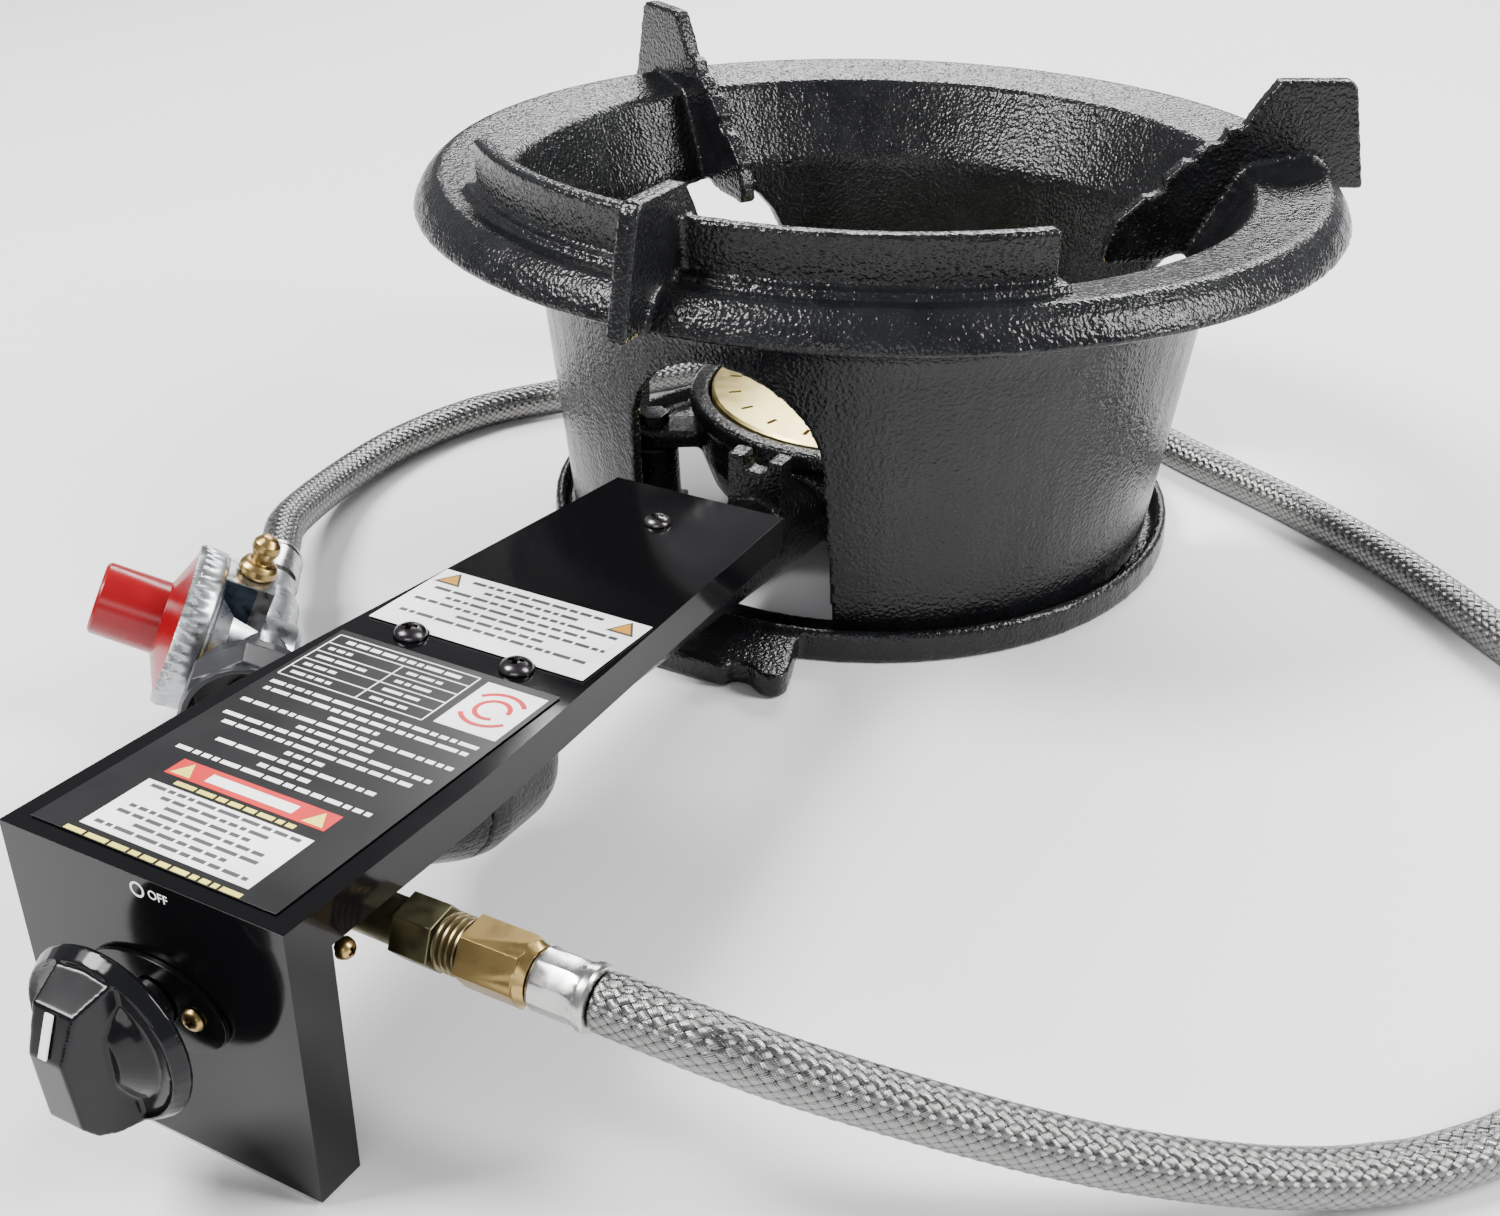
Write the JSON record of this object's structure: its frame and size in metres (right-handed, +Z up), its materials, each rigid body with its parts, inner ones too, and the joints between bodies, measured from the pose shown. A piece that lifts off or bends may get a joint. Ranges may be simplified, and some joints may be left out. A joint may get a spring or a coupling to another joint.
{
  "type": "propane burner stand",
  "caption": "Cast-iron gas burner ring with pot supports, a sheet-metal control arm with a knob, a braided hose and a regulator.",
  "frame": {"origin": "centre of the burner and arm's footprint, hose line left out, at the floor", "axes": "+Y from the control panel to the ring, +Z up, +X to the right as seen from the panel"},
  "size_m": [0.54, 0.6025, 0.1704],
  "materials": {
    "hammered_black_iron": "black hammered enamel, satin",
    "black_enamel_sheet": "gloss black",
    "brass": "machined",
    "dark_brass": "tarnished, satin",
    "steel": "machined",
    "black_screw": "black oxide, satin",
    "steel_braid": "woven wire",
    "zinc_casting": "cast, satin",
    "red_paint": "red, satin",
    "black_plastic": "gloss",
    "nut_plastic": "matte",
    "white_print": "printed, matte",
    "black_label": "printed, satin"
  },
  "bodies": {
    "root": {"arm_cover": "black_enamel_sheet", "base_ring": "hammered_black_iron", "bezel_screw_left": "brass", "bezel_screw_right": "brass", "burner_bolt_1": "black_screw", "burner_bolt_2": "black_screw", "burner_bolt_3": "black_screw", "burner_head": "hammered_black_iron", "caution_label": "white_print", "cover_screw_left": "black_screw", "cover_screw_rear": "black_screw", "cover_screw_right": "black_screw", "data_label": "black_label", "ferrule_burner_end": "steel", "ferrule_regulator_end": "steel", "flare_nut": "brass", "gas_jet": "brass", "hose": "steel_braid", "inlet_adaptor": "dark_brass", "inlet_nose": "brass", "panel_clip": "black_plastic", "regulator_body": "zinc_casting", "regulator_bonnet": "red_paint", "stem_bezel": "black_enamel_sheet", "stem_bushing": "black_screw", "test_screw": "brass", "valve_body": "dark_brass", "valve_bracket": "black_screw", "vent_fitting": "brass"},
    "ring": {"ring_casting": "hammered_black_iron"},
    "cap": {"burner_cap": "brass"},
    "shutter": {"air_shutter": "hammered_black_iron"},
    "stem": {"valve_stem": "steel"},
    "knob": {"knob": "black_plastic", "knob_pointer": "white_print"},
    "coupling": {"coupling_nut": "nut_plastic"}
  },
  "joints": [
    {"name": "knob_push", "type": "slide", "parent": "root", "child": "stem", "axis": [0, 0.9974, -0.0724], "range_m": [0, 0.003], "stiffness_N_per_m": 600},
    {"name": "knob_turn", "type": "hinge", "parent": "stem", "child": "knob", "pos_m": [0, -0.26884, 0.04699], "axis": [0, -0.9974, 0.0724], "range_deg": [0, 200]},
    {"name": "air_shutter_turn", "type": "hinge", "parent": "root", "child": "shutter", "pos_m": [0, -0.26862, 0.04998], "axis": [0, -0.9974, 0.0724], "range_deg": [-40, 40]},
    {"name": "ring_lift", "type": "slide", "parent": "root", "child": "ring", "axis": [0, 0, 1], "range_m": [0, 0.15]},
    {"name": "cap_lift", "type": "slide", "parent": "root", "child": "cap", "axis": [0, 0, 1], "range_m": [0, 0.05]},
    {"name": "coupling_turn", "type": "hinge", "parent": "root", "child": "coupling", "pos_m": [-0.09767, -0.13353, 0.02298], "axis": [-0.5953, 0.8032, -0.0217], "continuous": true}
  ]
}
